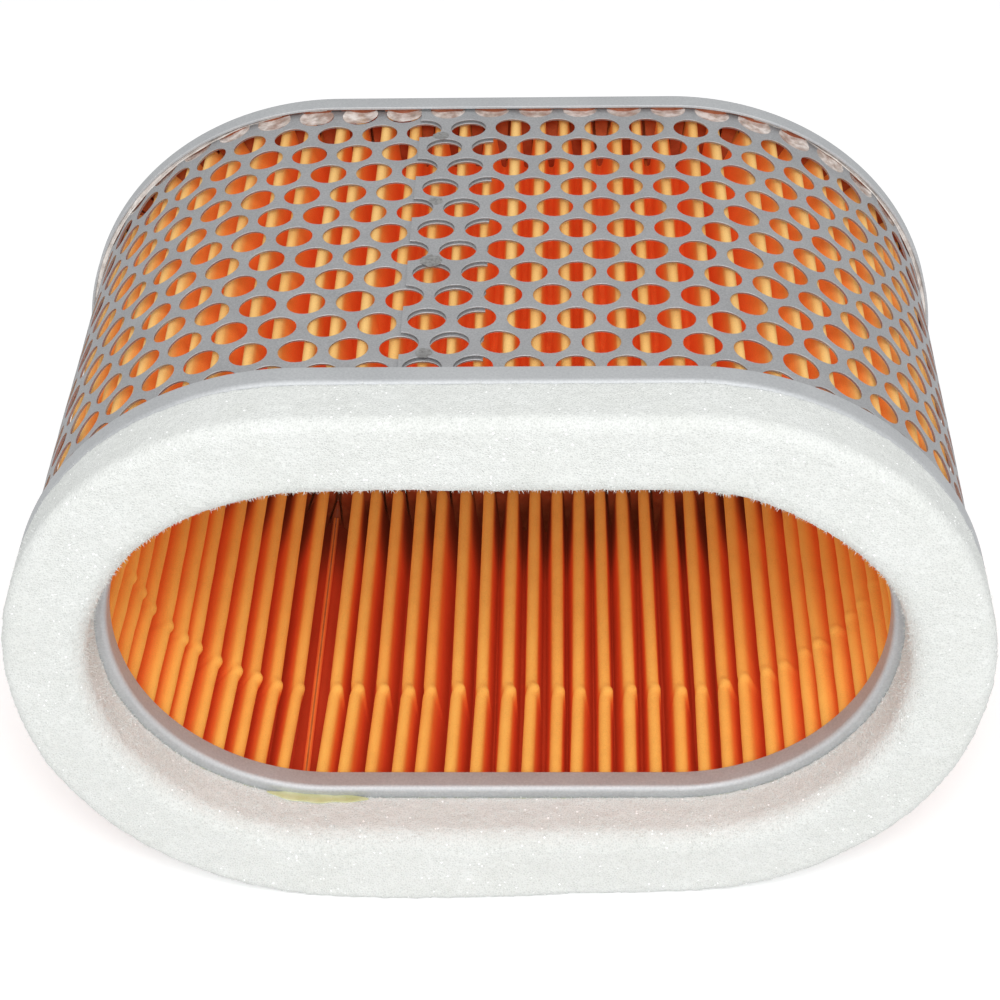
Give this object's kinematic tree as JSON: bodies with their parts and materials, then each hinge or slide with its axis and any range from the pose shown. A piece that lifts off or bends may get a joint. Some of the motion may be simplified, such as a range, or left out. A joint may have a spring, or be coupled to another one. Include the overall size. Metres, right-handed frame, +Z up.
{
  "type": "air filter",
  "caption": "Oval pleated-paper air filter for a motorcycle airbox, with steel end caps, a perforated steel screen and a foam gasket that seals its open end.",
  "frame": {"origin": "middle of the footprint, on the surface the filter rests on when it lies on its long flat side", "axes": "+X across the filter's width, +Y along its axis from the open gasket end towards the closed end, +Z up"},
  "size_m": [0.162, 0.1026, 0.102],
  "materials": {
    "cap_steel": "pressed zinc-plated sheet, soft satin",
    "perforated_steel": "punched zinc-plated sheet, matt grey",
    "weld_steel": "fused steel, dull",
    "filter_paper": "resin-treated orange filter paper",
    "paper_glue": "dried amber glue line",
    "potting_adhesive": "translucent whitish pouring adhesive",
    "contact_adhesive": "thin greenish-yellow contact glue",
    "gasket_foam": "white open-cell foam"
  },
  "bodies": {
    "root": {"front_end_cap": "cap_steel", "rear_end_cap": "cap_steel", "perforated_screen": "perforated_steel", "seam_spot_welds": "weld_steel", "pleated_paper": "filter_paper", "paper_seam_glue": "paper_glue", "front_potting": "potting_adhesive", "rear_potting": "potting_adhesive", "gasket_adhesive": "contact_adhesive", "foam_gasket": "gasket_foam"}
  },
  "joints": []
}
